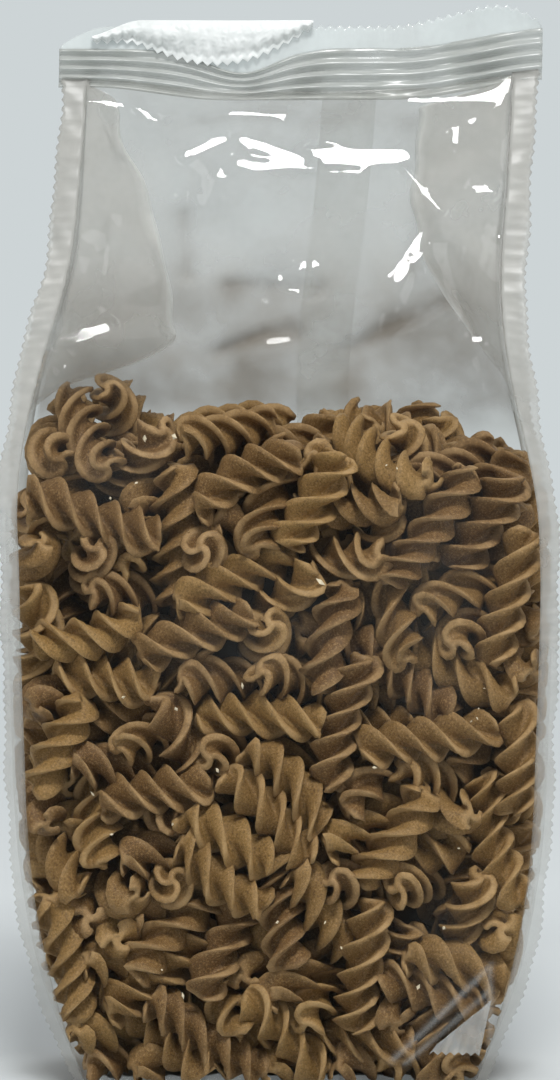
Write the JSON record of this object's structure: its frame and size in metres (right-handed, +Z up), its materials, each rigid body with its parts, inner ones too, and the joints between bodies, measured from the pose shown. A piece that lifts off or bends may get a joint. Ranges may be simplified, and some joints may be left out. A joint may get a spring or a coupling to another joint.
{
  "type": "pasta packet",
  "caption": "Clear sealed block-bottom bag of wholemeal fusilli pasta, with four corner fins, a ribbed zigzag-cut top seal and a flat base to stand on.",
  "frame": {"origin": "on the surface it stands on, under the middle of the bag's bounding box", "axes": "+Z up along the bag's height, -Y towards the front panel, +X to the right as seen from the front"},
  "size_m": [0.1351, 0.071, 0.2595],
  "materials": {
    "film_over_pasta": "clear glossy packing film over matt brown wholemeal pasta"
  },
  "bodies": {
    "root": {"pasta_bag": "film_over_pasta"}
  },
  "joints": []
}
